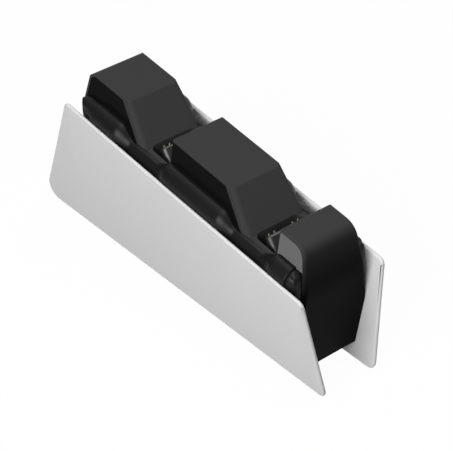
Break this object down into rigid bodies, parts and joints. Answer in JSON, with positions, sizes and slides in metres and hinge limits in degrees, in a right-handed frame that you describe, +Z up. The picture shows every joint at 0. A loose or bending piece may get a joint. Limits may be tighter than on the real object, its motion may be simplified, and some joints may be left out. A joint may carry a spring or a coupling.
{
  "type": "game controller charging dock",
  "caption": "Long charging dock: two white side plates lean apart around a black ridge whose humps form sloped seats, each with a well and a tilted post of spring contacts.",
  "frame": {"origin": "on the table, below the middle of the whole dock: midway between the two side plates and midway along its length", "axes": "+X towards the nose, along the ridge; +Z up; +Y towards the left side plate"},
  "size_m": [0.2276, 0.0568, 0.1005],
  "materials": {
    "plate": "fine matte white",
    "cover": "fine matte black",
    "gloss": "high gloss black",
    "housing": "satin black",
    "base": "matte black",
    "post": "satin black",
    "rubber": "soft matte",
    "ballast": "zinc plated",
    "board": "green solder mask",
    "component": "moulded epoxy",
    "inlet": "moulded black",
    "brass": "plain",
    "contact_metal": "bright plated",
    "lead": "flat white ribbon",
    "screw": "dark plated"
  },
  "bodies": {
    "root": {"side_plate_left": "plate", "side_plate_right": "plate", "ridge_cover": "cover", "gloss_panel_left": "gloss", "gloss_panel_right": "gloss", "housing": "housing", "base_cover": "base", "foot_rear_left": "rubber", "foot_rear_right": "rubber", "foot_front_left": "rubber", "foot_front_right": "rubber", "ballast_bar": "ballast", "main_board": "board", "board_components": "component", "dc_inlet": "inlet", "inlet_pin": "contact_metal", "base_screws": "screw", "ballast_screws": "screw", "board_screws": "screw", "plate_screws": "screw", "lead_rear": "lead", "lead_front": "lead", "contact_post_rear": "post", "pin_barrels_rear": "brass", "contact_board_rear": "board", "contact_post_front": "post", "pin_barrels_front": "brass", "contact_board_front": "board"},
    "contact_pin_rear_1": {"contact_pin_rear_1": "contact_metal"},
    "contact_pin_rear_2": {"contact_pin_rear_2": "contact_metal"},
    "contact_pin_rear_3": {"contact_pin_rear_3": "contact_metal"},
    "contact_pin_rear_4": {"contact_pin_rear_4": "contact_metal"},
    "contact_pin_front_1": {"contact_pin_front_1": "contact_metal"},
    "contact_pin_front_2": {"contact_pin_front_2": "contact_metal"},
    "contact_pin_front_3": {"contact_pin_front_3": "contact_metal"},
    "contact_pin_front_4": {"contact_pin_front_4": "contact_metal"}
  },
  "joints": [
    {"name": "press_rear_1", "type": "slide", "parent": "root", "child": "contact_pin_rear_1", "axis": [-0.6018, 0, 0.7986], "range_m": [-0.001, 0], "stiffness_N_per_m": 300},
    {"name": "press_rear_2", "type": "slide", "parent": "root", "child": "contact_pin_rear_2", "axis": [-0.6018, 0, 0.7986], "range_m": [-0.001, 0], "stiffness_N_per_m": 300},
    {"name": "press_rear_3", "type": "slide", "parent": "root", "child": "contact_pin_rear_3", "axis": [-0.6018, 0, 0.7986], "range_m": [-0.001, 0], "stiffness_N_per_m": 300},
    {"name": "press_rear_4", "type": "slide", "parent": "root", "child": "contact_pin_rear_4", "axis": [-0.6018, 0, 0.7986], "range_m": [-0.001, 0], "stiffness_N_per_m": 300},
    {"name": "press_front_1", "type": "slide", "parent": "root", "child": "contact_pin_front_1", "axis": [-0.6018, 0, 0.7986], "range_m": [-0.001, 0], "stiffness_N_per_m": 300},
    {"name": "press_front_2", "type": "slide", "parent": "root", "child": "contact_pin_front_2", "axis": [-0.6018, 0, 0.7986], "range_m": [-0.001, 0], "stiffness_N_per_m": 300},
    {"name": "press_front_3", "type": "slide", "parent": "root", "child": "contact_pin_front_3", "axis": [-0.6018, 0, 0.7986], "range_m": [-0.001, 0], "stiffness_N_per_m": 300},
    {"name": "press_front_4", "type": "slide", "parent": "root", "child": "contact_pin_front_4", "axis": [-0.6018, 0, 0.7986], "range_m": [-0.001, 0], "stiffness_N_per_m": 300}
  ]
}
